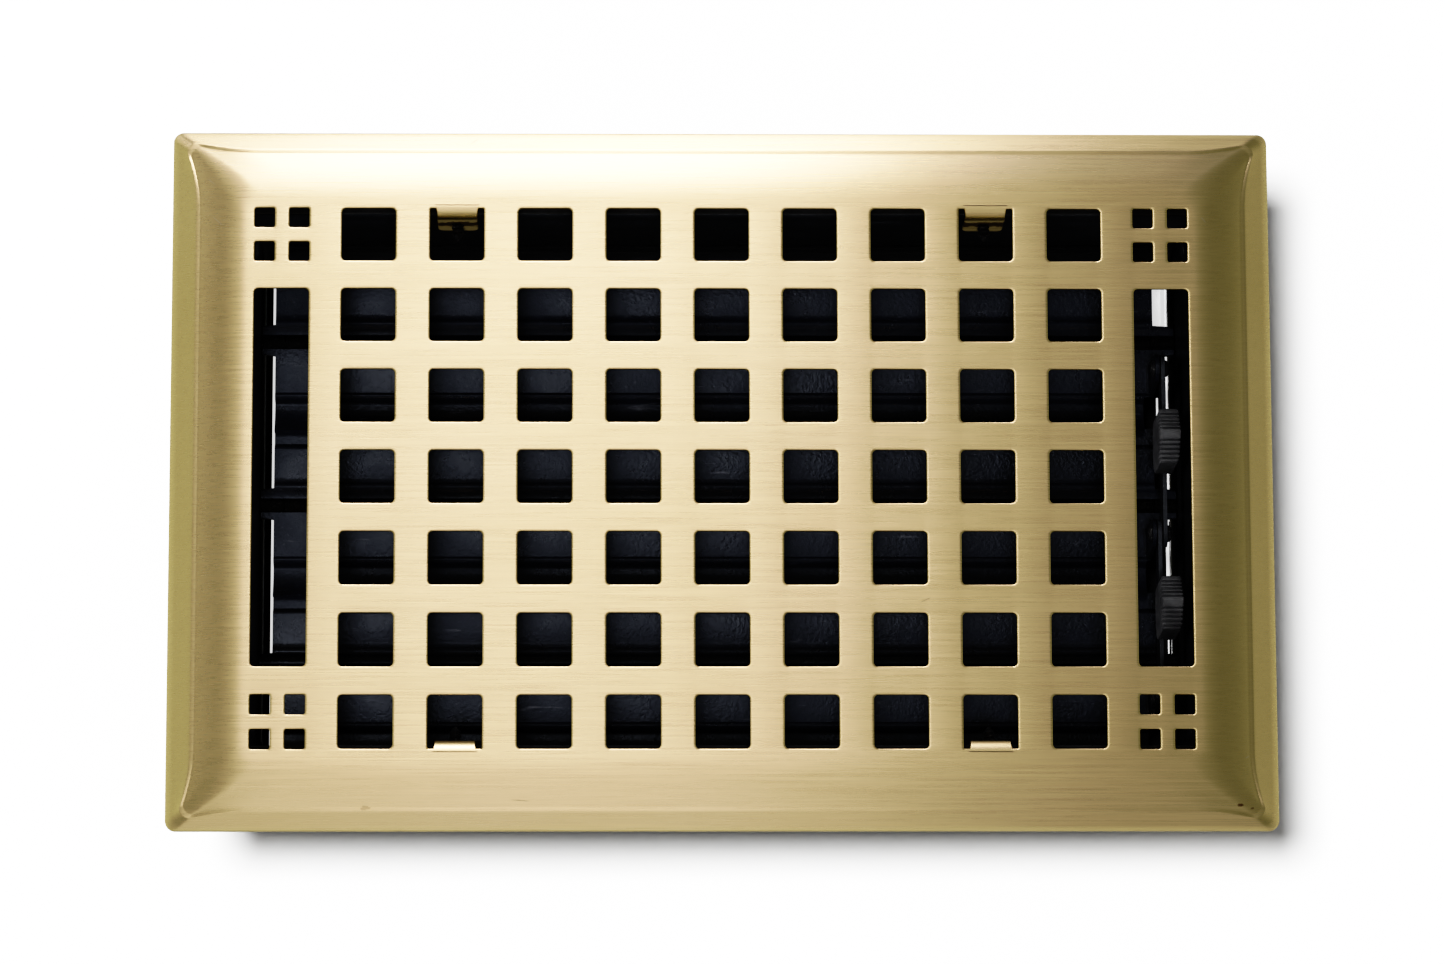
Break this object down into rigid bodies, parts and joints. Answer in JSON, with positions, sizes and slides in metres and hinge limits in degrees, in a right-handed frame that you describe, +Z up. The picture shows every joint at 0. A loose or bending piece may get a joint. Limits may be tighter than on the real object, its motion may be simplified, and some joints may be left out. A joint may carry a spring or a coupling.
{
  "type": "louvred air grille",
  "caption": "Floor register with a pierced brass faceplate over a black damper box whose linked louvre blades open and close by thumb knobs.",
  "frame": {"origin": "centre of the faceplate's rim underside, level with the floor surface", "axes": "+X along the blades and the long side, towards the thumb knobs; +Y across, towards the rear; +Z up out of the floor"},
  "size_m": [0.291, 0.187, 0.0662],
  "materials": {
    "brass_plate": "brushed satin brass plate, hairlines along the length",
    "black_box": "matte black paint on steel sheet",
    "black_blade": "matte blue-black paint with fine orange peel and scuffs",
    "black_screw": "black oxide steel",
    "grey_plastic": "dark grey moulded plastic, slightly dusty"
  },
  "bodies": {
    "casing": {"faceplate": "brass_plate", "long_wall_rear": "black_box", "long_wall_front": "black_box", "end_wall_left": "black_box", "end_wall_right": "black_box", "blade_stop_strip": "black_box", "corner_rivets": "black_box", "tab_screws": "black_screw"},
    "rear_louvre": {"blade_rear": "black_blade", "pivot_pins_rear": "black_screw", "crank_rivet_rear": "black_screw"},
    "middle_louvre": {"blade_middle": "black_blade", "pivot_pins_middle": "black_screw", "crank_rivet_middle": "black_screw"},
    "front_louvre": {"blade_front": "black_blade", "pivot_pins_front": "black_screw", "crank_rivet_front": "black_screw"},
    "rear_link": {"link_bar_rear": "black_box", "thumb_knob_rear": "grey_plastic"},
    "front_link": {"link_bar_front": "black_box", "thumb_knob_front": "grey_plastic"}
  },
  "joints": [
    {"name": "middle_louvre_hinge", "type": "hinge", "parent": "casing", "child": "middle_louvre", "pos_m": [0, 0, -0.0395], "axis": [-1, 0, 0], "range_deg": [0, 75]},
    {"name": "rear_louvre_hinge", "type": "hinge", "parent": "casing", "child": "rear_louvre", "pos_m": [0, 0.045, -0.0395], "axis": [-1, 0, 0], "range_deg": [0, 75]},
    {"name": "front_louvre_hinge", "type": "hinge", "parent": "casing", "child": "front_louvre", "pos_m": [0, -0.045, -0.0395], "axis": [-1, 0, 0], "range_deg": [0, 75]},
    {"name": "rear_link_hinge", "type": "hinge", "parent": "rear_louvre", "child": "rear_link", "pos_m": [0.1188, 0.0346, -0.022], "axis": [-1, 0, 0], "range_deg": [-75, 0]},
    {"name": "front_link_hinge", "type": "hinge", "parent": "middle_louvre", "child": "front_link", "pos_m": [0.1173, -0.0104, -0.022], "axis": [-1, 0, 0], "range_deg": [-75, 0]}
  ],
  "couplings": [
    {"joint": "rear_louvre_hinge", "follows": "middle_louvre_hinge", "ratio": 1},
    {"joint": "front_louvre_hinge", "follows": "middle_louvre_hinge", "ratio": 1},
    {"joint": "rear_link_hinge", "follows": "middle_louvre_hinge", "ratio": -1},
    {"joint": "front_link_hinge", "follows": "middle_louvre_hinge", "ratio": -1}
  ]
}
